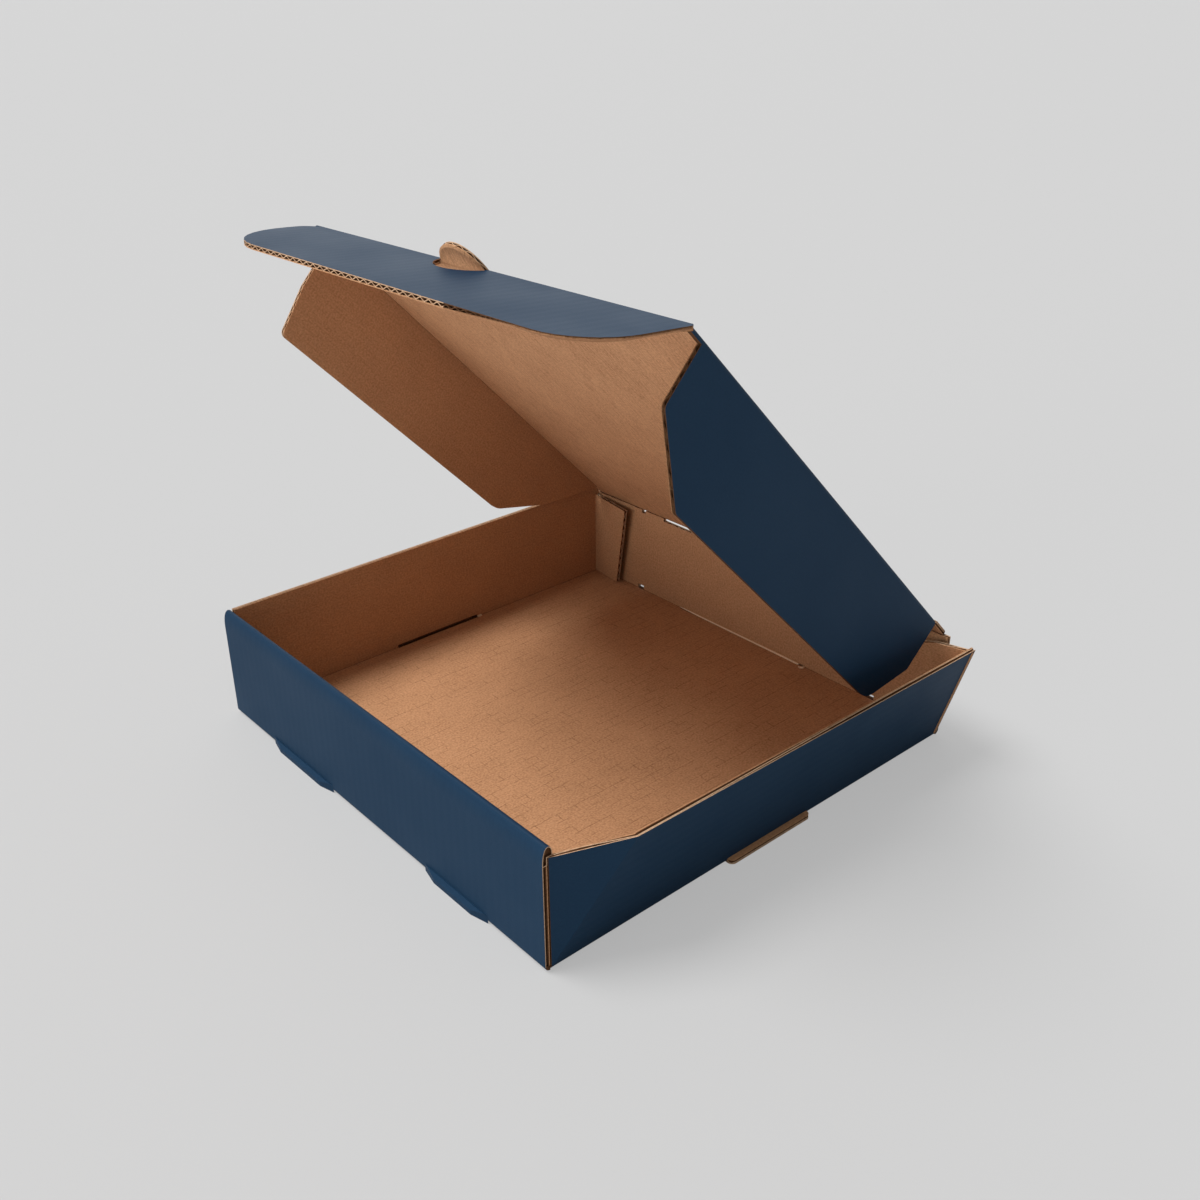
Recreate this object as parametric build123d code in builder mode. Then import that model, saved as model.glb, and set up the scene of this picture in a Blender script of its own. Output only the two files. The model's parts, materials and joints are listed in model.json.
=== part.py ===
from build123d import *
from math import cos, radians, sin
import os

# Corrugated box with an attached lid, folded from one die-cut blank.
# X runs along the front wall, -Y is the front, +Z is up.
# The origin is the middle of the underside of the floor. All sizes are in millimetres.

# Board
board = 2.8
fold_radius = 1.6
nose_flat = 0.02
ply_gap = 0.3
running_gap = 0.3

# Tray
tray_width = 300.0
tray_depth = 300.0
front_height = 70.0
hinge_height = 66.2
side_height = 70.0

# Right wall, which leans outwards from its bottom fold behind a diagonal crease
lean = 15.7
lean_height_front = 71.0
lean_height_back = 67.0
crease_run = 36.5
gusset_height = 64.0
inner_ply_short = 4.0

# Corner flaps on the back ends of the side walls, with the height and reach of each rim's corners
corner_flap_foot = 3.6
corner_flap_reach = 40.0
corner_flap_taper = 10.0
left_flap_turn = 8.0
left_flap_rim = ((63.5, 0.0), (63.0, corner_flap_reach))
right_flap_turn = 16.0
right_flap_rim = ((66.6, 0.0), (61.0, 21.0), (50.0, corner_flap_reach))

# Tabs of the floor that stay level where the side walls fold up
side_tab_length = 61.0
side_tab_reach = 4.0
side_tab_corner = 3.0

# Swellings of the front fold over the feet of the rolled-over panel
front_swell_reach = 2.6
front_swell_height = 4.6
front_swell_bevel = 1.8
front_swell_slope = 11.0
front_swell_centres = (-69.5, 80.0)
front_swell_lengths = (67.0, 53.0)

# Slits along the hinge fold, as the middle and the length of each
hinge_slits = ((-100.0, 4.0), (-59.0, 42.0), (59.0, 42.0), (100.0, 4.0))
hinge_slit_depth = 2.2

# Nicks at the foot of the back wall, and cut lines in the floor beside the walls
foot_nick = 3.0
foot_nick_centre = 102.0
cut_width = 0.8
cut_depth = 0.9
side_cut_length = 66.0
back_cut_length = 108.0
back_cut_centre = -8.0

# Lid
lid_opening = 45.7
lid_side_gap = 1.2
lid_reach = 301.6
lid_flap_depth = 60.0
lid_flap_front = 291.5
lid_flap_front_kink = (290.0, 31.0)
left_front_foot = 284.0
right_front_foot = 249.5
left_back_top = 8.0
left_back_kink = (42.0, 36.0)
left_back_foot = 78.0
right_back_top = 13.0
right_back_kink = (14.0, 31.0)
right_back_foot = 36.0
flap_back_rounding = 14.0

# Front flap, and the half-moon tongue that stays with the lid
flap_fold = 42.0
flap_depth = 60.0
flap_overhang = 2.5
flap_left_rounding = 42.0
flap_right_rounding = 30.0
flap_left_trim = 9.0
flap_right_trim = 3.0
tongue_width = 37.0
tongue_depth = 14.0
tongue_centre = -7.0
tongue_rise = 14.0
tongue_clearance = 0.6

# Worked out from the sizes above
left_x = -tray_width / 2
right_x = tray_width / 2
front_y = -tray_depth / 2
back_y = tray_depth / 2
roll = 2 * board + ply_gap
inner_front_y = front_y + roll
inner_back_y = back_y - board
hinge_y = back_y - board / 2
back_wall_top = hinge_height - board / 2 - running_gap
lid_width = tray_width - 2 * board - 2 * lid_side_gap
panel_reach = lid_reach - board / 2 - running_gap
nose_radius = (board - nose_flat) / 2
wall_start_y = front_y + board


def folded_plane(origin: Vector, angle: float) -> Plane:
    """Plane of a panel that hinges along X, tilted up towards the front by angle degrees."""
    tilt = radians(angle)
    return Plane(origin=origin, x_dir=(1, 0, 0), z_dir=(0, sin(tilt), cos(tilt)))


def half_moon(growth: float) -> Sketch:
    """The tongue's outline from its fold line, grown all round by growth."""
    low = tongue_centre - tongue_width / 2 - growth
    high = tongue_centre + tongue_width / 2 + growth
    with BuildSketch() as outline:
        with BuildLine():
            ThreePointArc((low, 0), (tongue_centre, -tongue_depth - growth), (high, 0))
            Line((high, 0), (low, 0))
        make_face()
    return outline.sketch


def edges_near(part: BuildPart, point: Vector) -> ShapeList:
    """The two edges along X that lie nearest to a point."""
    return part.edges().filter_by(Axis.X).sort_by(lambda edge: (edge.center() - point).length)[:2]


# Tray: floor, four walls, two corner flaps, tabs and swellings
with BuildPart() as tray:
    # Left wall and floor share one section with a rounded fold between them
    with BuildSketch(Plane.XZ.offset(-inner_back_y)) as left_section:
        with Locations(((left_x + right_x) / 2, board / 2)):
            Rectangle(tray_width, board)
        with Locations((left_x + board / 2, side_height / 2)):
            Rectangle(board, side_height)
        foot = left_section.vertices().group_by(Axis.Y)[0].sort_by(Axis.X)[0]
        fillet(foot, fold_radius)
    extrude(amount=inner_back_y - inner_front_y)

    # Front wall: the board rolled over on itself under a round ridge
    with BuildSketch(Plane.YZ.offset(left_x)) as front_section:
        with Locations((front_y + roll / 2, (front_height - roll / 2) / 2)):
            Rectangle(roll, front_height - roll / 2)
        foot = front_section.vertices().group_by(Axis.Y)[0].sort_by(Axis.X)[0]
        fillet(foot, fold_radius)
        with Locations((front_y + roll / 2, front_height - roll / 2)):
            Circle(roll / 2)
        with Locations((front_y + board + ply_gap / 2, front_height / 2)):
            Rectangle(ply_gap, front_height - 2 * board, mode=Mode.SUBTRACT)
    extrude(amount=tray_width)

    # The inner ply stops short at the right, where the gusset runs up to the outer ply
    with BuildSketch(Plane.XY.offset(board)):
        with Locations((right_x, (wall_start_y + inner_front_y) / 2)):
            Rectangle(2 * inner_ply_short, inner_front_y - wall_start_y)
    extrude(amount=gusset_height - board + ply_gap, mode=Mode.SUBTRACT)

    # Back wall, up to the hinge fold
    with BuildSketch(Plane.YZ.offset(left_x)) as back_section:
        with Locations((back_y - board / 2, back_wall_top / 2)):
            Rectangle(board, back_wall_top)
        foot = back_section.vertices().group_by(Axis.Y)[0].sort_by(Axis.X)[-1]
        fillet(foot, fold_radius)
    extrude(amount=tray_width)

    # Right wall: a plane leaning out from the floor's edge, as far as the crease
    lean_out = sin(radians(lean))
    lean_up = cos(radians(lean))
    leaning = Plane(origin=(right_x, 0, 0), x_dir=(0, 1, 0), z_dir=(lean_up, 0, -lean_out))
    with BuildSketch(leaning):
        with BuildLine():
            Polyline(
                (wall_start_y, 0),
                (inner_back_y, 0),
                (inner_back_y, lean_height_back),
                (wall_start_y + crease_run, lean_height_front),
                close=True,
            )
        make_face()
    extrude(amount=-board)

    # Upright gusset between the crease and the front wall
    crease_top = leaning.from_local_coords((wall_start_y + crease_run, lean_height_front, 0))
    gusset_run = Vector(crease_top.X - right_x, crease_run, 0)
    gusset = Plane(
        origin=(right_x, wall_start_y, 0),
        x_dir=gusset_run,
        z_dir=gusset_run.cross(Vector(0, 0, 1)),
    )
    with BuildSketch(gusset):
        with BuildLine():
            Polyline(
                (-board / 2, 0),
                (0, 0),
                (gusset_run.length, crease_top.Z),
                (0, gusset_height),
                (-board / 2, gusset_height),
                close=True,
            )
        make_face()
    extrude(amount=-board)

    # Corner flaps: each turns in from the back end of its side wall
    for side, turn, rim, rise in (
        (-1, left_flap_turn, left_flap_rim, Vector(0, 0, 1)),
        (1, right_flap_turn, right_flap_rim, Vector(lean_out, 0, lean_up)),
    ):
        inwards = Vector(-side * cos(radians(turn)), -sin(radians(turn)), 0)
        inwards = inwards - rise * inwards.dot(rise)
        corner = Plane(
            origin=(side * tray_width / 2, inner_back_y - running_gap, 0),
            x_dir=rise,
            z_dir=rise.cross(inwards),
        )
        with BuildSketch(corner):
            with BuildLine():
                Polyline(
                    (board, 0),
                    *rim,
                    (corner_flap_foot, corner_flap_reach - corner_flap_taper),
                    close=True,
                )
            make_face()
        extrude(amount=side * board)

    # Level tabs of the floor under both side walls
    with BuildSketch(Plane.XY):
        RectangleRounded(tray_width + 2 * side_tab_reach, side_tab_length, side_tab_corner)
    extrude(amount=board)

    # Swellings along the front fold, with sloped ends and a bevelled top
    for centre, length in zip(front_swell_centres, front_swell_lengths):
        with BuildSketch(Plane.XY):
            with BuildLine():
                Polyline(
                    (centre - length / 2, front_y + board / 2),
                    (centre - length / 2, front_y),
                    (centre - length / 2 + front_swell_slope, front_y - front_swell_reach),
                    (centre + length / 2 - front_swell_slope, front_y - front_swell_reach),
                    (centre + length / 2, front_y),
                    (centre + length / 2, front_y + board / 2),
                    close=True,
                )
            make_face()
        extrude(amount=front_swell_height)
        along = tray.edges().filter_by(Axis.X)
        along = along.filter_by_position(Axis.X, centre - length / 2, centre + length / 2)
        crest = along.group_by(Axis.Y)[0].sort_by(Axis.Z)[-1]
        chamfer(crest, front_swell_bevel)

    # Slits where the hinge fold is cut through
    with BuildSketch(Plane.XY.offset(back_wall_top)):
        for centre, length in hinge_slits:
            with Locations((centre, hinge_y)):
                Rectangle(length, 2 * board)
    extrude(amount=-hinge_slit_depth, mode=Mode.SUBTRACT)

    # Nicks through the foot of the back wall
    with BuildSketch(Plane.XZ.offset(-back_y)):
        with Locations((-foot_nick_centre, board + foot_nick / 2), (foot_nick_centre, board + foot_nick / 2)):
            Rectangle(foot_nick, foot_nick)
    extrude(amount=board, mode=Mode.SUBTRACT)

    # Cut lines in the floor, beside the left wall and along the back wall
    with BuildSketch(Plane.XY.offset(board)):
        with Locations((left_x + board + cut_width / 2, 0)):
            Rectangle(cut_width, side_cut_length)
        with Locations((back_cut_centre, inner_back_y - cut_width / 2)):
            Rectangle(back_cut_length, cut_width)
    extrude(amount=-cut_depth, mode=Mode.SUBTRACT)

# Lid: top panel, two side flaps and the tongue, in the pose of the open box
hinge_point = Vector(0, hinge_y, hinge_height)
lid_plane = folded_plane(hinge_point, lid_opening)
lid_forward = lid_plane.y_dir * -1
fold_point = hinge_point + lid_forward * lid_reach
tongue_root = Vector(tongue_centre - tongue_width / 2, 0, 0)
with BuildPart() as lid:
    # Top panel, round along the hinge
    with BuildSketch(lid_plane):
        with Locations((0, (board / 2 - panel_reach) / 2)):
            Rectangle(lid_width, panel_reach + board / 2)
    extrude(amount=board / 2, both=True)
    fillet(edges_near(lid, hinge_point), nose_radius)

    # Side flaps at right angles to the panel
    for side, back_top, back_kink, back_foot, front_foot in (
        (-1, left_back_top, left_back_kink, left_back_foot, left_front_foot),
        (1, right_back_top, right_back_kink, right_back_foot, right_front_foot),
    ):
        flap_side = Plane(
            origin=(side * lid_width / 2, hinge_y, hinge_height),
            x_dir=lid_forward,
            z_dir=(1, 0, 0),
        )
        with BuildSketch(flap_side) as side_flap:
            with BuildLine():
                Polyline(
                    (back_top, 0),
                    back_kink,
                    (back_foot, lid_flap_depth),
                    (front_foot, lid_flap_depth),
                    lid_flap_front_kink,
                    (lid_flap_front, 0),
                    close=True,
                )
            make_face()
            heights = side_flap.vertices().group_by(Axis.Y)
            fillet(heights[-1].sort_by(Axis.X)[0], flap_back_rounding)
        extrude(amount=-side * board)

    # Half-moon tongue beyond the front fold, sprung up a little from the panel
    with BuildSketch(lid_plane):
        with Locations((tongue_centre, (board - panel_reach - lid_reach) / 2)):
            Rectangle(tongue_width, lid_reach - panel_reach + board)
    extrude(amount=board / 2, both=True)
    with BuildSketch(Plane(origin=fold_point + tongue_root, z_dir=(1, 0, 0))):
        Circle(board / 2)
    extrude(amount=tongue_width)
    with BuildSketch(folded_plane(fold_point, lid_opening + tongue_rise)):
        add(half_moon(0))
    extrude(amount=board / 2, both=True)

# Front flap, round along its own hinge, with the tongue's half-moon hole
flap_plane = folded_plane(fold_point, lid_opening - flap_fold)
flap_width = lid_width + 2 * flap_overhang
with BuildPart() as front_flap:
    with BuildSketch(flap_plane) as flap_outline:
        with Locations((0, (board / 2 - flap_depth) / 2)):
            Rectangle(flap_width, flap_depth + board / 2)
        free_corners = flap_outline.vertices().group_by(Axis.Y)[0].sort_by(Axis.X)
        root_corners = flap_outline.vertices().group_by(Axis.Y)[-1].sort_by(Axis.X)
        fillet(free_corners[0], flap_left_rounding)
        fillet(free_corners[-1], flap_right_rounding)
        chamfer(root_corners[0], flap_left_trim)
        chamfer(root_corners[-1], flap_right_trim)
    extrude(amount=board / 2, both=True)
    fillet(edges_near(front_flap, fold_point), nose_radius)
    with BuildSketch(flap_plane):
        add(half_moon(tongue_clearance))
        with Locations((tongue_centre, board / 2)):
            Rectangle(tongue_width + 2 * tongue_clearance, board)
    extrude(amount=board, both=True, mode=Mode.SUBTRACT)

os.makedirs("parts", exist_ok=True)
tray.part.label = "tray"
export_step(tray.part, "parts/tray.step")
lid.part.label = "lid"
export_step(lid.part, "parts/lid.step")
front_flap.part.label = "front_flap"
export_step(front_flap.part, "parts/front_flap.step")
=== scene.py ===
"""Dresses the open corrugated box: printed and kraft liners over fluted board, folds, ridge and cut edges."""

from __future__ import annotations

import json
import logging
import math
from collections.abc import Callable
from dataclasses import dataclass, field
from enum import IntEnum

import bpy
from mathutils import Matrix, Vector

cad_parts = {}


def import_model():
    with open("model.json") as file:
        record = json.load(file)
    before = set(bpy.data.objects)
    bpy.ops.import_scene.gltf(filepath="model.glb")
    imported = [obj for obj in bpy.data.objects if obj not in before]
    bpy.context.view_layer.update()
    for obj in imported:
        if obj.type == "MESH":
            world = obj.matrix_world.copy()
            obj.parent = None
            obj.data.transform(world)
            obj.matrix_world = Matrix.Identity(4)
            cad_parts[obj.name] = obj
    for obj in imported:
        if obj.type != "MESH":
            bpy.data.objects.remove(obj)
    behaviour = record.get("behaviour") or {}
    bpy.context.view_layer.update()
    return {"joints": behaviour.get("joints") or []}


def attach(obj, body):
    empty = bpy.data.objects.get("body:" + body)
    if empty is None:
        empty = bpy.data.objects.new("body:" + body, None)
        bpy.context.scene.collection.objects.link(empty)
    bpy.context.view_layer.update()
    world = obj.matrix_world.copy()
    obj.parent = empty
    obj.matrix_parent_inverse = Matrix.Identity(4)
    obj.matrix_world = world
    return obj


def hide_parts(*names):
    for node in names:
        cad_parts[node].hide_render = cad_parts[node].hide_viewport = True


LOG = logging.getLogger("corrugated_box")
MM = 0.001
RIGHT = Vector((1, 0, 0))
BACK = Vector((0, 1, 0))
UP = Vector((0, 0, 1))
SHARP = math.radians(12)


class Side(IntEnum):
    """Which finish a face of the board takes, as its material slot's number."""

    PRINTED = 0
    KRAFT = 1
    CUT = 2
    FLUTE = 3
    # Painted shade: the dark finish of shadowed cut faces, gaps, hollows and the sheets that close the cuts.
    PAINTED_SHADE = 4
    RAW = 5
    CREASED = 6
    STREAKED = 7
    # Painted shade: a darker copy of kraft for the crushed rim that lies in shade.
    SHADED_RIM = 8


@dataclass(frozen=True)
class BoardMake:
    """How the single-wall board is made up, in metres."""

    thickness: float = 2.8 * MM
    liner: float = 0.45 * MM
    medium: float = 0.5 * MM
    pitch: float = 6.4 * MM
    steps: int = 10
    pinch: float = 0.12 * MM
    pinch_width: float = 1.2 * MM

    @property
    def swing(self) -> float:
        """Half the height that the fluted layer's middle line swings through."""
        return (self.thickness - 2 * self.liner - self.medium) / 2


BOARD = BoardMake()


def in_edit_mode(obj: bpy.types.Object) -> None:
    """Makes obj the only selected object and opens it in edit mode with all selected."""
    bpy.ops.object.select_all(action="DESELECT")
    obj.select_set(True)
    bpy.context.view_layer.objects.active = obj
    bpy.ops.object.mode_set(mode="EDIT")
    bpy.ops.mesh.select_all(action="SELECT")


def apply_modifiers(obj: bpy.types.Object) -> None:
    """Applies every modifier of obj in order."""
    bpy.ops.object.select_all(action="DESELECT")
    obj.select_set(True)
    bpy.context.view_layer.objects.active = obj
    for modifier in list(obj.modifiers):
        bpy.ops.object.modifier_apply(modifier=modifier.name)


def join(name: str, parts: list[bpy.types.Object]) -> bpy.types.Object:
    """Joins parts into one object.

    Args:
        name: the joined object's name.
        parts: the objects to join, each already in its place.

    Returns:
        The joined object.
    """
    bpy.ops.object.select_all(action="DESELECT")
    for part in parts:
        part.select_set(True)
    bpy.context.view_layer.objects.active = parts[0]
    bpy.ops.object.join()
    whole = bpy.context.active_object
    whole.name = name
    whole.data.name = name
    whole.data.shade_smooth()
    whole.data.set_sharp_from_angle(angle=SHARP)
    return whole


def cut_away(obj: bpy.types.Object, point: Vector, outwards: Vector) -> None:
    """Cuts off what lies beyond a plane, and closes the cut.

    Args:
        obj: the closed mesh to cut, in object mode.
        point: a point on the plane, in the mesh's own coordinates.
        outwards: the plane's normal, towards the side that goes.
    """
    in_edit_mode(obj)
    bpy.ops.mesh.bisect(plane_co=point, plane_no=outwards, use_fill=True, clear_outer=True)
    bpy.ops.object.mode_set(mode="OBJECT")


def placing(origin: Vector, along: Vector, outwards: Vector) -> Matrix:
    """The matrix from a panel's own axes to the row frame.

    Args:
        origin: the panel's origin, on its printed face.
        along: the way the flutes run.
        outwards: the way the printed face looks.

    Returns:
        A matrix whose X runs across the flutes, Y along them and Z outwards.
    """
    y = along.normalized()
    z = outwards.normalized()
    x = y.cross(z)
    turn = Matrix((x, y, z)).transposed().to_4x4()
    return Matrix.Translation(origin) @ turn


def rounded_outline(corners: list[Vector], radii: list[float], steps: int = 8) -> list[Vector]:
    """Rounds the corners of a flat outline.

    Args:
        corners: the outline's corners in order, in two dimensions.
        radii: one radius for each corner, 0 where it stays sharp.
        steps: straight pieces for each rounded corner.

    Returns:
        The outline's points in the same order.
    """
    points: list[Vector] = []
    for here, corner in enumerate(corners):
        radius = radii[here]
        if radius == 0:
            points.append(corner.copy())
            continue
        to_last = (corners[here - 1] - corner).normalized()
        to_next = (corners[(here + 1) % len(corners)] - corner).normalized()
        half = to_last.angle(to_next) / 2
        middle = corner + (to_last + to_next).normalized() * (radius / math.sin(half))
        start = corner + to_last * (radius / math.tan(half)) - middle
        sweep = math.pi - 2 * half
        turning = 1 if to_last.x * to_next.y - to_last.y * to_next.x < 0 else -1
        for step in range(steps + 1):
            angle = turning * sweep * step / steps
            turn = Matrix.Rotation(angle, 2)
            points.append(middle + turn @ start)
    return points


@dataclass
class Panel:
    """A flat panel of board, given by the corners of its printed face in the row frame."""

    name: str
    corners: list[Vector]
    along: Vector
    outwards: Vector
    radii: list[float] = field(default_factory=list)
    mitres: list[tuple[Vector, Vector]] = field(default_factory=list)
    pinch: Callable[[float, float], float] | None = None
    pinch_width: float = BOARD.pinch_width
    # Where the panel's edges take painted shade.
    painted_shade: Callable[[float, float], bool] | None = None
    inside: Side = Side.KRAFT

    def build(self) -> bpy.types.Object:
        """Builds the panel's two liners and the fluted layer between them.

        Returns:
            The panel in its place, as one mesh of closed layers.
        """
        place = placing(self.corners[0], self.along, self.outwards)
        inverse = place.inverted()
        flat = [(inverse @ corner).to_2d() for corner in self.corners]
        outline = rounded_outline(flat, self.radii or [0.0] * len(flat))
        mitres = [(inverse @ point, inverse.to_3x3() @ normal) for point, normal in self.mitres]
        back = BOARD.thickness
        outer = self._sheet(outline, mitres, 0, -BOARD.liner, Side.PRINTED)
        inner = self._sheet(outline, mitres, -back, BOARD.liner - back, self.inside)
        whole = self._sheet(outline, mitres, 0, -back, Side.CUT)
        fluted = self._fluted_layer(outline, whole)
        panel = join(self.name, [outer, inner, fluted])
        if self.painted_shade:
            self._paint_edge_shade(panel)
        panel.data.transform(place)
        return panel

    def _paint_edge_shade(self, panel: bpy.types.Object) -> None:
        """Paints shade on the edges where the panel is marked: its raw cut faces take the dark painted-shade finish
        and its sloping kraft rim the darker shaded copy of kraft.
        """
        for polygon in panel.data.polygons:
            if not self.painted_shade(polygon.center.x, polygon.center.y):
                continue
            if polygon.material_index in (Side.CUT, Side.FLUTE):
                polygon.material_index = Side.PAINTED_SHADE
            # The sloping kraft rim takes the shaded copy of kraft, as painted shade.
            elif polygon.material_index == self.inside and polygon.normal.z > -0.95:
                polygon.material_index = Side.SHADED_RIM

    def _sheet(
        self,
        outline: list[Vector],
        mitres: list[tuple[Vector, Vector]],
        face: float,
        rear: float,
        finish: Side,
    ) -> bpy.types.Object:
        """One flat sheet of the panel's outline, from one height to another, with its mitres cut."""
        corners = [Vector((spot.x, spot.y, face)) for spot in outline]
        edge = Side.KRAFT if finish is self.inside else Side.CUT
        sheet = slab(self.name, corners, UP * (rear - face), finish, edge)
        if finish is self.inside:
            self._pinch_rim(sheet)
        for point, normal in mitres:
            cut_away(sheet, point, normal)
        return sheet

    def _pinch_rim(self, sheet: bpy.types.Object) -> None:
        """Presses the kraft liner's rim towards the printed one, as the cutting rule does."""
        rim = {(round(v.co.x, 7), round(v.co.y, 7)) for v in sheet.data.vertices}
        in_edit_mode(sheet)
        bpy.ops.mesh.select_all(action="DESELECT")
        bpy.ops.object.mode_set(mode="OBJECT")
        for polygon in sheet.data.polygons:
            polygon.select = polygon.normal.z < -0.5
        bpy.ops.object.mode_set(mode="EDIT")
        bpy.ops.mesh.inset(thickness=self.pinch_width, depth=0)
        bpy.ops.object.mode_set(mode="OBJECT")
        for polygon in sheet.data.polygons:
            if polygon.normal.z < -0.5:
                polygon.material_index = self.inside
        for vertex in sheet.data.vertices:
            if (round(vertex.co.x, 7), round(vertex.co.y, 7)) in rim:
                vertex.co.z += self._pinch_at(vertex.co)

    def _pinch_at(self, spot: Vector) -> float:
        """How far the kraft liner's rim is pushed in at a spot in the panel's own axes."""
        return self.pinch(spot.x, spot.y) if self.pinch else BOARD.pinch

    def _fluted_layer(self, outline: list[Vector], whole: bpy.types.Object) -> bpy.types.Object:
        """The wavy layer between the liners, trimmed to the panel's form."""
        low = Vector((min(p.x for p in outline), min(p.y for p in outline)))
        high = Vector((max(p.x for p in outline), max(p.y for p in outline)))
        first = math.floor(low.x / BOARD.pitch) - 1
        waves = math.ceil(high.x / BOARD.pitch) + 1 - first
        width = waves * BOARD.pitch
        length = high.y - low.y + 2 * BOARD.pitch
        bpy.ops.mesh.primitive_grid_add(x_subdivisions=waves * BOARD.steps, y_subdivisions=1, size=1)
        sheet = bpy.context.active_object
        sheet.scale = (width, length, 1)
        sheet.location = (first * BOARD.pitch + width / 2, (low.y + high.y) / 2, 0)
        bpy.ops.object.transform_apply(location=True, rotation=True, scale=True)
        for vertex in sheet.data.vertices:
            turn = 2 * math.pi * vertex.co.x / BOARD.pitch
            vertex.co.z = BOARD.swing * math.sin(turn) - BOARD.thickness / 2
        solid = sheet.modifiers.new("thickness", "SOLIDIFY")
        solid.thickness = BOARD.medium
        solid.offset = 0
        trim = sheet.modifiers.new("trim", "BOOLEAN")
        trim.object = whole
        trim.operation = "INTERSECT"
        trim.solver = "EXACT"
        apply_modifiers(sheet)
        bpy.data.objects.remove(whole)
        mesh = sheet.data
        for vertex in mesh.vertices:
            vertex.co.z *= 1 - self._pinch_at(vertex.co) / BOARD.thickness
        mesh.update()
        set_slots(mesh)
        for polygon in mesh.polygons:
            sloping = abs(polygon.normal.z) > 0.5
            polygon.material_index = Side.FLUTE if sloping else Side.CUT
        lay_flat_map(mesh)
        return sheet


def lay_flat_map(mesh: bpy.types.Mesh) -> None:
    """Lays the mesh's own X and Y on it in metres, as the UV map that patterns follow."""
    layer = mesh.uv_layers.get("board") or mesh.uv_layers.new(name="board")
    for loop in mesh.loops:
        spot = mesh.vertices[loop.vertex_index].co
        layer.data[loop.index].uv = (spot.x, spot.y)


def set_slots(mesh: bpy.types.Mesh) -> None:
    """Gives the mesh the board's four finishes, in the order of Side."""
    mesh.materials.clear()
    for side in Side:
        mesh.materials.append(bpy.data.materials[side.name.lower()])


@dataclass
class Fold:
    """A bend in the board: a round wedge about a line, from one panel's end to the next one's."""

    name: str
    start: Vector
    end: Vector
    radius: float
    first: Vector
    last: Vector
    kraft_towards: Vector | None = None
    segments: int = 48

    def build(self) -> bpy.types.Object:
        """Builds the wedge.

        Returns:
            The closed wedge in its place, printed on its round side.
        """
        line = self.end - self.start
        axis = line.normalized()
        bpy.ops.mesh.primitive_cylinder_add(vertices=self.segments, radius=self.radius, depth=line.length)
        wedge = bpy.context.active_object
        place = placing((self.start + self.end) / 2, self.first, axis)
        wedge.data.transform(place)
        self._open_to(wedge, axis)
        mesh = wedge.data
        set_slots(mesh)
        for face in mesh.polygons:
            out = face.center - self.start
            out = out - axis * out.dot(axis)
            round_side = abs(face.normal.dot(axis)) < 0.1 and out.length > self.radius * 0.9
            # The flat faces, the fold's ends among them, take the dark finish of painted shade.
            face.material_index = Side.PRINTED if round_side else Side.PAINTED_SHADE
            if round_side and self.kraft_towards and out.normalized().dot(self.kraft_towards) > 0.3:
                face.material_index = Side.KRAFT
        layer = mesh.uv_layers.get("board") or mesh.uv_layers.new(name="board")
        for loop in mesh.loops:
            spot = mesh.vertices[loop.vertex_index].co - self.start
            layer.data[loop.index].uv = (spot.dot(axis), spot.dot(self.first))
        return wedge

    def _open_to(self, wedge: bpy.types.Object, axis: Vector) -> None:
        """Keeps only what lies between the first and the last direction."""
        turn = self.first.cross(self.last)
        way = axis if turn.length < 1e-6 else turn.normalized()
        cut_away(wedge, self.start, -way.cross(self.first))
        if turn.length > 1e-6:
            cut_away(wedge, self.start, way.cross(self.last))


def paint_shade(obj: bpy.types.Object, outwards: Vector, limit: float) -> None:
    """Paints shade on the cut faces that look outwards in front of a limit along Y, for the shadowed gap there."""
    for polygon in obj.data.polygons:
        if polygon.normal.dot(outwards) > 0.7 and polygon.center.y < limit + 0.1 * MM:
            polygon.material_index = Side.PAINTED_SHADE


def mark_ends(obj: bpy.types.Object, along: Vector) -> None:
    """Gives the faces across a direction the cut edge's finish."""
    for polygon in obj.data.polygons:
        if abs(polygon.normal.dot(along)) > 0.9:
            polygon.material_index = Side.CUT


def slab(name: str, corners: list[Vector], depth: Vector, finish: Side, rest: Side) -> bpy.types.Object:
    """A small plain block: an outline pushed through a depth.

    Args:
        name: the block's name.
        corners: the outline's corners in order, in the row frame.
        depth: the way and distance that the outline is pushed.
        finish: the finish of the face that the outline makes.
        rest: the finish of all other faces.

    Returns:
        The closed block in its place.
    """
    bpy.ops.mesh.primitive_circle_add(vertices=len(corners), radius=1, fill_type="NGON")
    block = bpy.context.active_object
    block.name = name
    for vertex, corner in zip(block.data.vertices, corners):
        vertex.co = corner
    in_edit_mode(block)
    bpy.ops.mesh.extrude_region_move(TRANSFORM_OT_translate={"value": depth})
    bpy.ops.mesh.select_all(action="SELECT")
    bpy.ops.mesh.normals_make_consistent(inside=False)
    bpy.ops.object.mode_set(mode="OBJECT")
    mesh = block.data
    set_slots(mesh)
    for face in mesh.polygons:
        first = all((mesh.vertices[v].co - corners[0]).dot(depth) < 1e-7 for v in face.vertices)
        face.material_index = finish if first else rest
    lay_flat_map(mesh)
    return block


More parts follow.
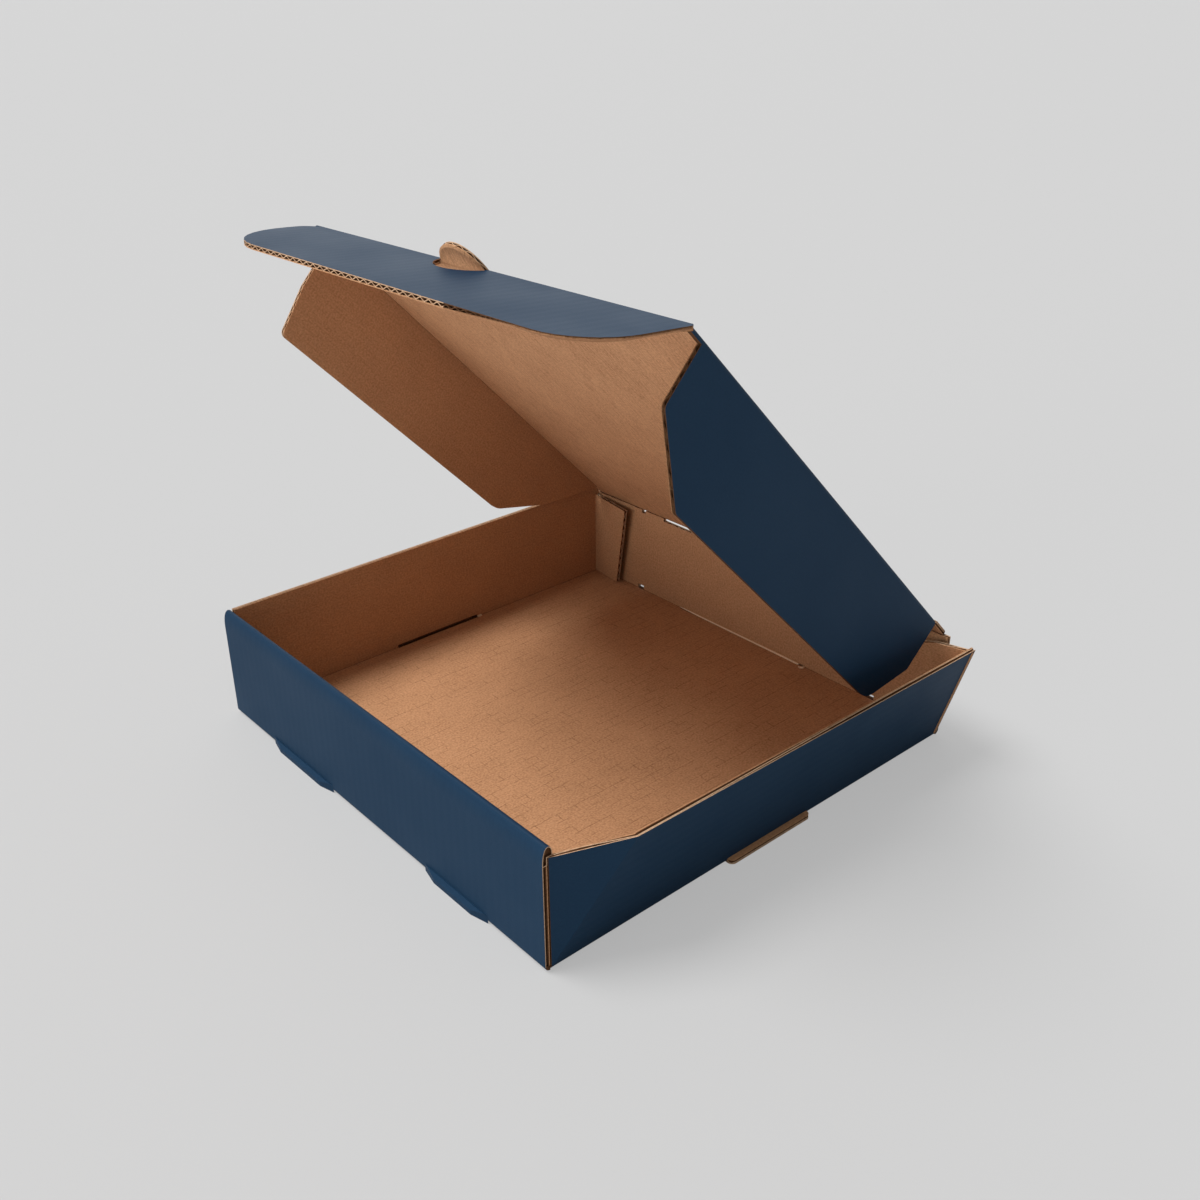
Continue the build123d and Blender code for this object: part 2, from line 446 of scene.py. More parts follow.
@dataclass
class Tray:
    """The box's body: floor, four walls, gusset, corner flaps, tabs and swellings."""

    width: float = 300 * MM
    depth: float = 300 * MM
    front_height: float = 70 * MM
    side_height: float = 70 * MM
    ply_gap: float = 0.3 * MM
    hinge_height: float = 66.2 * MM
    hinge_play: float = 0.05 * MM
    lean: float = math.radians(15.7)
    lean_height_front: float = 71 * MM
    lean_height_back: float = 67 * MM
    crease_run: float = 36.5 * MM
    gusset_height: float = 64 * MM
    gusset_gap: float = 0.6 * MM
    skin_seen: float = 0.45 * MM
    hollow_seen: float = 1.2 * MM
    ridge_profile: tuple[tuple[float, float], ...] = (
        (0.0, 60.0 * MM),
        (0.05 * MM, 62.0 * MM),
        (0.2 * MM, 64.0 * MM),
        (0.5 * MM, 66.0 * MM),
        (0.95 * MM, 67.6 * MM),
        (1.5 * MM, 68.8 * MM),
        (2.2 * MM, 69.6 * MM),
        (3.1 * MM, 70.0 * MM),
        (4.1 * MM, 69.8 * MM),
        (4.9 * MM, 69.2 * MM),
        (5.5 * MM, 68.2 * MM),
        (5.8 * MM, 66.8 * MM),
        (5.9 * MM, 65.2 * MM),
        (5.9 * MM, 60.0 * MM),
    )
    inner_ply_short: float = 4 * MM
    flap_gap: float = 0.3 * MM
    flap_foot: float = 3.6 * MM
    flap_reach: float = 40 * MM
    flap_taper: float = 10 * MM
    left_turn: float = math.radians(8)
    left_rim: tuple[tuple[float, float], ...] = ((63.5 * MM, 0.0), (63 * MM, 40 * MM))
    right_turn: float = math.radians(16)
    right_rim: tuple[tuple[float, float], ...] = (
        (66.6 * MM, 0.0),
        (61 * MM, 21 * MM),
        (50 * MM, 40 * MM),
    )
    tab_length: float = 61 * MM
    tab_reach: float = 4 * MM
    tab_corner: float = 3 * MM
    swell_reach: float = 2.6 * MM
    swell_height: float = 4.6 * MM
    swell_slope: float = 11 * MM
    swell_bevel: float = 1.8 * MM
    swells: tuple[tuple[float, float], ...] = ((-69.5 * MM, 67 * MM), (80 * MM, 53 * MM))
    slits: tuple[tuple[float, float], ...] = (
        (100 * MM, 4 * MM),
        (59 * MM, 42 * MM),
        (-59 * MM, 42 * MM),
        (-100 * MM, 4 * MM),
    )
    slit_depth: float = 2.2 * MM
    nick: float = 3 * MM
    nick_seen: float = 6 * MM
    nick_centre: float = 102 * MM
    cut_width: float = 0.8 * MM
    cut_height: float = 1.5 * MM
    painted_light_spot: float = 3 * MM
    side_cut: float = 66 * MM
    back_cut: tuple[float, float] = (-62 * MM, 46 * MM)
    hook_end: float = 50.5 * MM

    def __post_init__(self) -> None:
        """Works out the places that several panels share."""
        thick = BOARD.thickness
        self.left = -self.width / 2
        self.right = self.width / 2
        self.front = -self.depth / 2
        self.back = self.depth / 2
        self.roll = 2 * thick + self.ply_gap
        self.inner_front = self.front + self.roll
        self.inner_back = self.back - thick
        self.rise = Vector((math.sin(self.lean), 0, math.cos(self.lean)))
        self.lean_out = Vector((math.cos(self.lean), 0, -math.sin(self.lean)))
        self.right_bend = self.right - thick * (1 - math.sin(self.lean)) / math.cos(self.lean)
        self.wall_start = self.front + thick

    def build(self) -> bpy.types.Object:
        """Builds every panel and fold of the tray and joins them."""
        parts = [
            self._floor(),
            *self._cut_line(),
            *self._left_wall(),
            *self._right_wall(),
            *self._front_wall(),
            *self._back_wall(),
            *self._corner_flaps(),
            *self._tabs(),
            *self._swellings(),
        ]
        return join("tray_board", parts)

    def _floor(self) -> bpy.types.Object:
        """The floor, between its four folds, with the cut lines beside the left and back walls."""
        thick = BOARD.thickness
        left = self.left + thick
        back = self.back - thick
        start, end = self.back_cut
        outline = [
            (left, self.front + thick),
            (self.right_bend, self.front + thick),
            (self.right_bend, back),
            (end, back),
            (end, back - self.cut_width),
            (start, back - self.cut_width),
            (start, back),
            (left, back),
            (left, self.side_cut / 2),
            (left + self.cut_width, self.side_cut / 2),
            (left + self.cut_width, -self.side_cut / 2),
            (left, -self.side_cut / 2),
        ]
        corners = [Vector((across, along, 0)) for across, along in outline]
        return Panel("floor", corners, BACK, -UP, inside=Side.CREASED).build()

    def _cut_line(self) -> list[bpy.types.Object]:
        """The cut beside the left wall, closed below and behind by dark sheets of painted shade, and a pale painted
        spot of light at its end; the back cut is closed below the same way.
        """
        half = self.side_cut / 2
        thick = BOARD.thickness
        inner = self.left + thick
        bed = [
            Vector((inner, -half, 0)),
            Vector((inner + self.cut_width, -half, 0)),
            Vector((inner + self.cut_width, half, 0)),
            Vector((inner, half, 0)),
        ]
        backing = [
            Vector((self.left, -half, thick)),
            Vector((self.left, half, thick)),
            Vector((self.left, half, thick + self.cut_height)),
            Vector((self.left, -half, thick + self.cut_height)),
        ]
        # Painted light: a pale patch in the raw finish at the cut's end, where light shows through the cut.
        raw = [
            Vector((inner, half, thick)),
            Vector((inner + 2 * self.cut_width, half, thick)),
            Vector((inner + 2 * self.cut_width, half + self.painted_light_spot, thick)),
            Vector((inner, half + self.painted_light_spot, thick)),
        ]
        start, end = self.back_cut
        back_bed = [
            Vector((start, self.inner_back, 0)),
            Vector((end, self.inner_back, 0)),
            Vector((end, self.inner_back - self.cut_width, 0)),
            Vector((start, self.inner_back - self.cut_width, 0)),
        ]
        # The beds and the backing are dark sheets of painted shade closing the cuts.
        return [
            slab("cut_bed", bed, UP * (thick / 2), Side.PRINTED, Side.PAINTED_SHADE),
            slab("cut_backing", backing, RIGHT * (thick / 3), Side.PRINTED, Side.PAINTED_SHADE),
            slab("painted_light_spot", raw, UP * self.cut_width, Side.RAW, Side.RAW),
            slab("back_cut_bed", back_bed, UP * (thick / 2), Side.PRINTED, Side.PAINTED_SHADE),
        ]

    def _left_wall(self) -> list[bpy.types.Object]:
        """The upright left wall and its bottom fold."""
        thick = BOARD.thickness
        half = self.side_cut / 2
        corners = [
            Vector((self.left, self.inner_front, thick)),
            Vector((self.left, -half, thick)),
            Vector((self.left, -half, thick + self.cut_height)),
            Vector((self.left, half, thick + self.cut_height)),
            Vector((self.left, half, thick)),
            Vector((self.left, self.inner_back, thick)),
            Vector((self.left, self.inner_back, self.side_height)),
            Vector((self.left, self.inner_front, self.side_height)),
        ]
        bend = Vector((self.left + thick, 0, thick))
        fold = Fold(
            "left_fold",
            bend + BACK * (self.front + thick),
            bend + BACK * self.inner_back,
            thick,
            -UP,
            -RIGHT,
        )
        return [Panel("left_wall", corners, BACK, -RIGHT).build(), fold.build()]

    def _leaned(self, along: float, height: float) -> Vector:
        """A point on the right wall's printed face."""
        return Vector((self.right, along, 0)) + self.rise * height

    def _right_wall(self) -> list[bpy.types.Object]:
        """The right wall leaning out behind its diagonal crease, the gusset and the bottom fold."""
        thick = BOARD.thickness
        bend = Vector((self.right_bend, 0, thick))
        foot = (bend + self.lean_out * thick - Vector((self.right, 0, 0))).dot(self.rise)
        crease_foot = self._leaned(self.wall_start, 0)
        crease_top = self._leaned(self.wall_start + self.crease_run, self.lean_height_front)
        gusset_top = Vector((self.right, self.wall_start, self.gusset_height))
        gusset_out = (crease_top - crease_foot).cross(gusset_top - crease_foot).normalized()
        crease = (crease_top - crease_foot).normalized()
        split = crease.cross(self.lean_out + gusset_out).normalized()
        if split.dot(BACK) < 0:
            split = -split
        corners = [
            self._leaned(self.wall_start, foot),
            self._leaned(self.inner_back, foot),
            self._leaned(self.inner_back, self.lean_height_back),
            crease_top,
            self._leaned(self.wall_start, self.lean_height_front),
        ]
        wall = Panel("right_wall", corners, BACK, self.lean_out, mitres=[(crease_foot, -split)])
        run = Vector((crease_top.x - self.right, self.crease_run, 0)).normalized()
        gusset_corners = [
            crease_foot,
            crease_foot + run * (2 * self.crease_run),
            crease_top + run * self.crease_run,
            crease_top,
            gusset_top,
        ]
        edge = (self._leaned(self.wall_start, 0) + BACK * self.gusset_gap, -BACK)
        gusset = Panel("gusset", gusset_corners, run, gusset_out, mitres=[(crease_foot, split), edge])
        boards = [wall.build(), gusset.build()]
        # The front-facing cut faces of the wall and gusset take painted shade for the shadowed gap in front of the
        # gusset.
        for board in boards:
            paint_shade(board, -BACK, self.wall_start + self.gusset_gap)
        fold = Fold(
            "right_fold",
            bend + BACK * self.wall_start,
            bend + BACK * self.inner_back,
            thick,
            -UP,
            self.lean_out,
        )
        return [*boards, fold.build()]

    def _front_wall(self) -> list[bpy.types.Object]:
        """The front wall: two plies, the round ridge that joins them and the bottom fold."""
        thick = BOARD.thickness
        shoulder = self.ridge_profile[0][1]
        outer = [
            Vector((self.left, self.front, thick)),
            Vector((self.right, self.front, thick)),
            Vector((self.right, self.front, shoulder)),
            Vector((self.left, self.front, shoulder)),
        ]
        short = self.right - self.inner_ply_short
        inner_outline = [
            (self.left, thick),
            (short, thick),
            (short, shoulder),
            (self.left, shoulder),
        ]
        inner = [Vector((across, self.inner_front, height)) for across, height in inner_outline]
        bend = Vector((0, self.front + thick, thick))
        return [
            self._outer_ply(outer),
            Panel("front_inner_ply", inner, UP, BACK).build(),
            *self._ridge(),
            Fold(
                "front_fold",
                bend + RIGHT * self.left,
                bend + RIGHT * self.right,
                thick,
                -UP,
                -BACK,
            ).build(),
        ]

    def _outer_ply(self, corners: list[Vector]) -> bpy.types.Object:
        """The front wall's outer ply, with painted shade between its liners where its right end is cut."""
        ply = Panel("front_outer_ply", corners, UP, -BACK).build()
        # Painted shade: the faces between the liners at the cut right end go dark, for the shade in the open flutes.
        for polygon in ply.data.polygons:
            depth = polygon.center.y - self.front
            between = BOARD.liner < depth < BOARD.thickness - BOARD.liner
            if between and polygon.center.x > self.right - BOARD.pitch / 2:
                polygon.material_index = Side.PAINTED_SHADE
        return ply

    def _ridge(self) -> list[bpy.types.Object]:
        """The rolled top of the front wall, cut back at the right where the gusset runs up to it."""
        skin = [Vector((self.left, self.front + inset, height)) for inset, height in self.ridge_profile]
        run = RIGHT * (self.right - self.left)
        rebated = self.gusset_height + self.ply_gap
        outer = slab("front_ridge", skin, run, Side.CUT, Side.PRINTED)
        mark_ends(outer, RIGHT)
        cutter = slab(
            "rebate",
            [
                Vector((self.right - self.inner_ply_short, self.wall_start, 0)),
                Vector((self.right + self.roll, self.wall_start, 0)),
                Vector((self.right + self.roll, self.inner_front + self.roll, 0)),
                Vector((self.right - self.inner_ply_short, self.inner_front + self.roll, 0)),
            ],
            UP * rebated,
            Side.CUT,
            Side.CUT,
        )
        trim = outer.modifiers.new("rebate", "BOOLEAN")
        trim.object = cutter
        trim.operation = "DIFFERENCE"
        trim.solver = "EXACT"
        apply_modifiers(outer)
        bpy.data.objects.remove(cutter)
        self._hollow_ends(outer)
        return [outer]

    def _hollow_ends(self, ridge: bpy.types.Object) -> None:
        """Sinks the ridge's end faces, so that only the liner's edge shows round a hollow painted dark as shade."""
        in_edit_mode(ridge)
        bpy.ops.mesh.select_mode(type="FACE")
        bpy.ops.mesh.select_all(action="DESELECT")
        bpy.ops.object.mode_set(mode="OBJECT")
        for polygon in ridge.data.polygons:
            at_end = min(abs(polygon.center.x - self.left), abs(polygon.center.x - self.right)) < 1e-6
            polygon.select = at_end and abs(polygon.normal.x) > 0.9
        bpy.ops.object.mode_set(mode="EDIT")
        bpy.ops.mesh.inset(thickness=self.skin_seen, depth=0, use_individual=True)
        bpy.ops.mesh.inset(thickness=0.01 * MM, depth=-self.hollow_seen, use_individual=True)
        bpy.ops.object.mode_set(mode="OBJECT")
        # The sunk end faces take painted shade, for the dark inside of the hollow roll.
        for polygon in ridge.data.polygons:
            inside = min(polygon.center.x - self.left, self.right - polygon.center.x)
            if abs(inside) < 1e-6:
                polygon.material_index = Side.CUT
            elif inside < self.hollow_seen + 1e-6:
                polygon.material_index = Side.PAINTED_SHADE

    def _back_wall(self) -> list[bpy.types.Object]:
        """The back wall up to the hinge, with the slits along the hinge fold."""
        thick = BOARD.thickness
        top = self.hinge_height - thick / 2 - self.hinge_play
        outline = [(self.left, thick)]
        for middle in (-self.nick_centre, self.nick_centre):
            outline.append((middle - self.nick_seen / 2, thick))
            outline.append((middle - self.nick_seen / 2, thick + self.nick))
            outline.append((middle + self.nick_seen / 2, thick + self.nick))
            outline.append((middle + self.nick_seen / 2, thick))
        outline.append((self.right, thick))
        outline.append((self.right, top))
        for middle, length in self.slits:
            outline.append((middle + length / 2, top))
            outline.append((middle + length / 2, top - self.slit_depth))
            outline.append((middle - length / 2, top - self.slit_depth))
            outline.append((middle - length / 2, top))
        outline.append((self.left, top))
        corners = [Vector((across, self.back, height)) for across, height in outline]
        parts = [Panel("back_wall", corners, UP, BACK).build()]
        bend = Vector((0, self.back - thick, thick))
        fold = Fold(
            "back_fold",
            bend + RIGHT * self.left,
            bend + RIGHT * self.right,
            thick,
            -UP,
            BACK,
        )
        parts.append(fold.build())
        parts.extend(self._raw_lip())
        return parts

    def _raw_lip(self) -> list[bpy.types.Object]:
        """The pale torn lip along the cut at the back wall's foot, with its small hook."""
        start, end = self.back_cut
        line = self.inner_back
        low = BOARD.thickness
        lip = [
            Vector((start, line, low)),
            Vector((end, line, low)),
            Vector((end, line - 0.9 * MM, low)),
            Vector((start + 20 * MM, line - 0.6 * MM, low)),
        ]
        hook = [
            Vector((end, line - 0.1 * MM, low + 0.1 * MM)),
            Vector((self.hook_end - 1 * MM, line - 0.1 * MM, low + 0.1 * MM)),
            Vector((self.hook_end, line - 1.2 * MM, low + 0.1 * MM)),
            Vector((self.hook_end - 1.2 * MM, line - 2.6 * MM, low + 0.1 * MM)),
            Vector((self.hook_end - 2.6 * MM, line - 3 * MM, low + 0.1 * MM)),
            Vector((self.hook_end - 0.6 * MM, line - 3.6 * MM, low + 0.1 * MM)),
            Vector((self.hook_end + 1 * MM, line - 2 * MM, low + 0.1 * MM)),
            Vector((self.hook_end + 0.6 * MM, line - 0.1 * MM, low + 0.1 * MM)),
        ]
        return [
            slab("raw_lip", lip, Vector((0, 0.2 * MM, 0.7 * MM)), Side.RAW, Side.RAW),
            slab("raw_hook", hook, UP * 0.7 * MM, Side.RAW, Side.RAW),
        ]

    def _corner_flaps(self) -> list[bpy.types.Object]:
        """The flaps that turn in from the back ends of the side walls."""
        made = []
        for side, turn, rim, rise in (
            (-1, self.left_turn, self.left_rim, UP),
            (1, self.right_turn, self.right_rim, self.rise),
        ):
            inwards = Vector((-side * math.cos(turn), -math.sin(turn), 0))
            inwards = (inwards - rise * inwards.dot(rise)).normalized()
            outwards = rise.cross(inwards) * -side
            corner = Vector((side * self.width / 2, self.inner_back - self.flap_gap, 0))
            corners = [
                corner + rise * BOARD.thickness,
                corner + rise * self.flap_foot + inwards * (self.flap_reach - self.flap_taper),
                *(corner + rise * height + inwards * reach for height, reach in reversed(rim)),
            ]
            made.append(Panel("corner_flap", corners, inwards, outwards).build())
        return made

    def _tabs(self) -> list[bpy.types.Object]:
        """The floor's level tabs under the side walls."""
        made = []
        for side, edge in ((-1, self.left + BOARD.thickness), (1, self.right_bend)):
            out = side * (self.width / 2 + self.tab_reach)
            corners = [
                Vector((edge, -self.tab_length / 2, 0)),
                Vector((out, -self.tab_length / 2, 0)),
                Vector((out, self.tab_length / 2, 0)),
                Vector((edge, self.tab_length / 2, 0)),
            ]
            radii = [0, self.tab_corner, self.tab_corner, 0]
            made.append(Panel("floor_tab", corners, BACK, -UP, radii).build())
        return made

    def _swellings(self) -> list[bpy.types.Object]:
        """The shallow swellings along the front fold."""
        made = []
        for centre, length in self.swells:
            low = centre - length / 2
            high = centre + length / 2
            crest = self.front - self.swell_reach
            outline = [
                Vector((low, self.front, 0)),
                Vector((low + self.swell_slope, crest, 0)),
                Vector((high - self.swell_slope, crest, 0)),
                Vector((high, self.front, 0)),
            ]
            block = slab("swelling", outline, UP * self.swell_height, Side.PRINTED, Side.PRINTED)
            shoulder = Vector((0, crest, self.swell_height - self.swell_bevel))
            cut_away(block, shoulder, Vector((0, -1, 1)))
            made.append(block)
        return made


@dataclass
class Lid:
    """The lid: top panel, two side flaps and the tongue, in the pose of the open box."""

    hinge: Vector
    opening: float = math.radians(45.7)
    width: float = 292 * MM
    reach: float = 301.6 * MM
    flap_depth: float = 60 * MM
    front_top: float = 291.5 * MM
    front_kink: tuple[float, float] = (290 * MM, 31 * MM)
    left_front_foot: float = 284 * MM
    right_front_foot: float = 249.5 * MM
    left_back: tuple[float, float, float, float] = (8 * MM, 42 * MM, 36 * MM, 78 * MM)
    right_back: tuple[float, float, float, float] = (13 * MM, 14 * MM, 31 * MM, 36 * MM)
    back_rounding: float = 14 * MM
    front_rounding: float = 4 * MM
    tongue_width: float = 37 * MM
    tongue_depth: float = 13.9 * MM
    tongue_centre: float = -7 * MM
    tongue_rise: float = math.radians(14)

    def __post_init__(self) -> None:
        """Works out the lid's own directions."""
        self.forwards = Vector((0, -math.cos(self.opening), math.sin(self.opening)))
        self.outwards = Vector((0, math.sin(self.opening), math.cos(self.opening)))
        self.inwards = -self.outwards

    @property
    def fold_point(self) -> Vector:
        """The middle of the front fold, on the line that the front flap turns about."""
        return self.hinge + self.forwards * self.reach

    def spot(self, across: float, along: float, inside: float) -> Vector:
        """A point by its place across the lid, its distance from the hinge and its depth inside it."""
        return self.hinge + RIGHT * across + self.forwards * along + self.inwards * inside

    def build(self) -> bpy.types.Object:
        """Builds every panel and fold of the lid and joins them."""
        parts = [*self._top_panel(), *self._side_flaps(), *self._tongue()]
        return join("lid_board", parts)

    def _top_panel(self) -> list[bpy.types.Object]:
        """The top panel with its round hinge and front edges."""
        half = self.width / 2
        skin = BOARD.thickness / 2
        side = half - BOARD.thickness
        ends = (self.reach, self.right_back[0], self.left_back[0])
        outline = [
            (-half, 0),
            (half, 0),
            (half, ends[1]),
            (side, ends[1]),
            (side, self.reach),
            (-side, self.reach),
            (-side, ends[2]),
            (-half, ends[2]),
        ]
        corners = [self.spot(across, along, -skin) for across, along in outline]
        panel = Panel("top_panel", corners, self.forwards, self.outwards, inside=Side.STREAKED)
        parts = [panel.build()]
        for along, name in ((0.0, "hinge_nose"), (self.reach, "front_nose")):
            first = self.outwards if along == 0 else self.inwards
            parts.append(
                Fold(
                    name,
                    self.spot(half, along, 0),
                    self.spot(-half, along, 0),
                    skin,
                    first,
                    -first,
                    kraft_towards=self.inwards,
                ).build()
            )
        return parts

    def _side_flaps(self) -> list[bpy.types.Object]:
        """The side flaps and the folds that they hang from."""
        skin = BOARD.thickness / 2
        made = []
        for side, back, front_foot in (
            (-1, self.left_back, self.left_front_foot),
            (1, self.right_back, self.right_front_foot),
        ):
            edge = side * self.width / 2
            top, kink_along, kink_inside, foot = back
            corners = [
                self.spot(edge, top, skin),
                self.spot(edge, kink_along, kink_inside),
                self.spot(edge, foot, self.flap_depth),
                self.spot(edge, front_foot, self.flap_depth),
                self.spot(edge, *self.front_kink),
                self.spot(edge, self.front_top, skin),
            ]
            radii = [0, 0, self.back_rounding, self.front_rounding, self.front_rounding, 0]
            flap = Panel("side_flap", corners, self.forwards, RIGHT * side, radii)
            # The right flap's cut edges take painted shade and its sloping kraft rim the shaded copy of kraft.
            if side > 0:
                flap.painted_shade = lambda across, along: True
            made.append(flap.build())
            inner = side * (self.width / 2 - BOARD.thickness)
            fold = Fold(
                "side_fold",
                self.spot(inner, top, skin),
                self.spot(inner, self.reach, skin),
                BOARD.thickness,
                self.outwards,
                RIGHT * side,
            )
            made.append(fold.build())
        return made

    def _tongue(self) -> list[bpy.types.Object]:
        """The half-moon tongue, sprung up a little from the panel."""
        lean = self.opening + self.tongue_rise
        forwards = Vector((0, -math.cos(lean), math.sin(lean)))
        outwards = Vector((0, math.sin(lean), math.cos(lean)))
        start = self.fold_point + outwards * (BOARD.thickness / 2)
        outline = half_moon(self.tongue_centre, self.tongue_width, self.tongue_depth)
        corners = [start + RIGHT * across + forwards * along for across, along in outline]
        tongue = Panel("tongue", corners, forwards, outwards, inside=Side.STREAKED)
        tongue.pinch = lambda across, along: 6 * BOARD.pinch
        return [tongue.build()]


def half_moon(centre: float, width: float, depth: float, steps: int = 18) -> list[tuple[float, float]]:
    """The tongue's outline: a round segment on a straight fold line.

    Args:
        centre: the segment's middle along the fold.
        width: its width on the fold.
        depth: how far it reaches from the fold.
        steps: straight pieces along the round side.

    Returns:
        Places across and away from the fold, in order round the outline.
    """
    radius = (width * width / 4 + depth * depth) / (2 * depth)
    half = math.asin(width / 2 / radius) if depth < radius else math.pi / 2
    points = []
    for step in range(steps + 1):
        angle = half * (2 * step / steps - 1)
        points.append((centre + radius * math.sin(angle), depth - radius + radius * math.cos(angle)))
    return points


@dataclass
class FrontFlap:
    """The flap on the lid's front edge, with the tongue's half-moon hole."""

    fold_point: Vector
    opening: float
    tongue: Lid
    fold: float = math.radians(42)
    depth: float = 60 * MM
    width: float = 297 * MM
    left_rounding: float = 42 * MM
    right_rounding: float = 30 * MM
    left_trim: float = 9 * MM
    right_trim: float = 3 * MM
    root_start: float = 0.3 * MM
    hole_clearance: float = 0.6 * MM
    crush: float = 1.85 * MM
    crush_width: float = 4 * MM
    crush_start: float = 60 * MM
    crush_full: float = 105 * MM

    def build(self) -> bpy.types.Object:
        """Builds the flap and cuts its hole."""
        tilt = self.opening - self.fold
        forwards = Vector((0, -math.cos(tilt), math.sin(tilt)))
        outwards = Vector((0, math.sin(tilt), math.cos(tilt)))
        start = self.fold_point + outwards * (BOARD.thickness / 2)
        half = self.width / 2
        skin = BOARD.thickness / 2
        lid = self.tongue
        hole = half_moon(
            lid.tongue_centre,
            lid.tongue_width + 2 * self.hole_clearance,
            lid.tongue_depth + self.hole_clearance,
        )
        flat = [
            (-half + self.left_trim - skin - self.root_start, self.root_start),
            *((across, max(along, self.root_start)) for across, along in hole),
            (half - self.right_trim + skin + self.root_start, self.root_start),
            (half, self.right_trim - skin),
            (half, self.depth),
            (self.crush_full, self.depth),
            (self.crush_start, self.depth),
            (-half, self.depth),
            (-half, self.left_trim - skin),
        ]
        corners = [start + RIGHT * across + forwards * along for across, along in flat]
        free_edge = [self.right_rounding, 0.0, 0.0, self.left_rounding, 8 * MM]
        radii = [0.0] * (len(flat) - len(free_edge)) + free_edge
        board = Panel("flap_board", corners, forwards, outwards, radii)
        board.pinch_width = self.crush_width
        origin = corners[0].x
        rise = self.right_trim - skin - self.root_start
        board.pinch = lambda across, along: self._crush(origin - across, along / rise)
        # Where the free edge is crushed, its cut faces take painted shade and its sloping kraft rim the shaded copy of
        # kraft.
        board.painted_shade = lambda across, along: origin - across > self.crush_start and along > rise
        return board.build()

    def _crush(self, across: float, rise: float) -> float:
        """How far the free edge is crushed across the flap, and away from the fold."""
        share = (across - self.crush_start) / (self.crush_full - self.crush_start)
        share = min(max(share, 0), 1) * min(max(rise, 0), 1)
        return BOARD.pinch + (self.crush - BOARD.pinch) * share


@dataclass(frozen=True)
class Finish:
    """What every finish of the board shares: its colours and how rough it is."""

    name: str
    colour: tuple[float, float, float]
    dark: tuple[float, float, float]
    pale: tuple[float, float, float]
    roughness: float
    mottle: float
    ridges: float
    streaks: float
    specular: float

    def material(self) -> bpy.types.Material:
        """Makes the finish's material.

        Returns:
            The material, with fibres, mottling and the ridges of the flutes below.
        """
        material = bpy.data.materials.new(self.name)
        material.use_nodes = True
        nodes = material.node_tree.nodes
        links = material.node_tree.links
        shader = nodes["Principled BSDF"]
        shader.inputs["Specular IOR Level"].default_value = self.specular
        surface = nodes.new("ShaderNodeGroup")
        surface.node_tree = bpy.data.node_groups["paper_surface"]
        surface.inputs["Colour"].default_value = (*self.colour, 1)
        surface.inputs["Dark"].default_value = (*self.dark, 1)
        surface.inputs["Pale"].default_value = (*self.pale, 1)
        surface.inputs["Mottle"].default_value = self.mottle
        surface.inputs["Ridges"].default_value = self.ridges
        surface.inputs["Streaks"].default_value = self.streaks
        surface.inputs["Roughness"].default_value = self.roughness
        bump = nodes.new("ShaderNodeBump")
        bump.inputs["Strength"].default_value = 0.35
        bump.inputs["Distance"].default_value = 0.0004
        links.new(surface.outputs["Colour"], shader.inputs["Base Color"])
        links.new(surface.outputs["Roughness"], shader.inputs["Roughness"])
        links.new(surface.outputs["Height"], bump.inputs["Height"])
        links.new(bump.outputs["Normal"], shader.inputs["Normal"])
        return material


